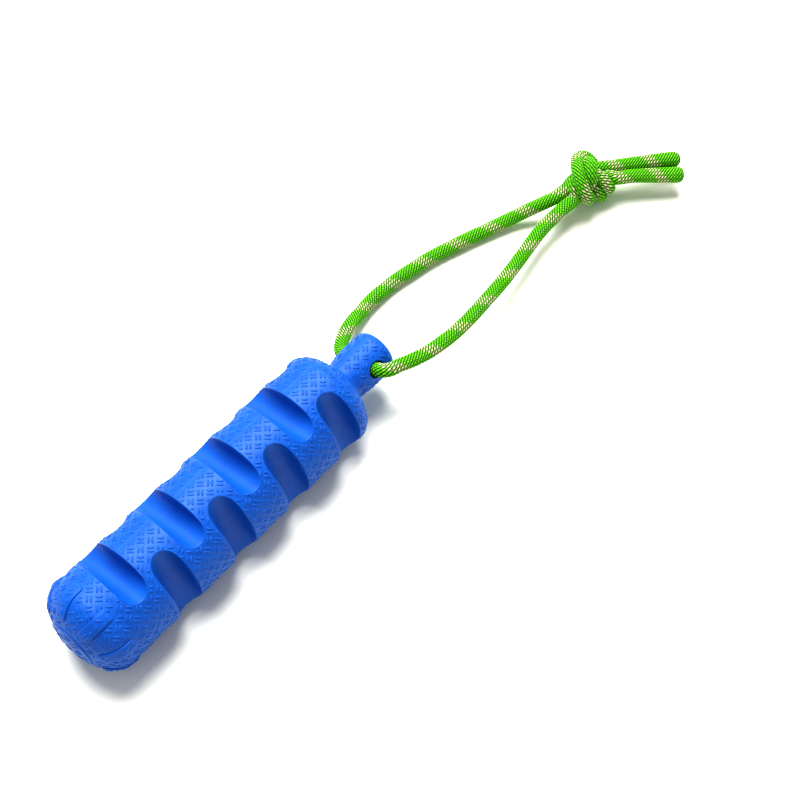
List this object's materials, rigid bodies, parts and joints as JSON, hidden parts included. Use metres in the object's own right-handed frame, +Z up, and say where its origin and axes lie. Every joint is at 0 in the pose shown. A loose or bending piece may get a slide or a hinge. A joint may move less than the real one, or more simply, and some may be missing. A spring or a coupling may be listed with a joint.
{
  "type": "training bumper",
  "caption": "Foam rubber throwing bumper with staggered rows of scoops and a knotted throw rope threaded through its neck.",
  "frame": {"origin": "bottom centre of the body's box, on the surface that it lies on, without the rope", "axes": "+X along the body from the nose to the neck, where the rope leaves; +Z up"},
  "size_m": [0.4726, 0.0898, 0.0567],
  "materials": {
    "foam_rubber": "matte",
    "rope": "braided",
    "melted_end": "melted"
  },
  "bodies": {
    "bumper": {"bumper_body": "foam_rubber"},
    "rope": {"rope_loop": "rope", "knot_strand_a": "rope", "knot_strand_b": "rope", "rope_tail_a": "rope", "rope_tail_b": "rope", "end_seal_a": "melted_end", "end_seal_b": "melted_end"}
  },
  "joints": [
    {"name": "loop_swing", "type": "hinge", "parent": "bumper", "child": "rope", "pos_m": [0.10485, 0, 0.02825], "axis": [0, -0.8572, 0.515], "range_deg": [-115, 115]}
  ]
}
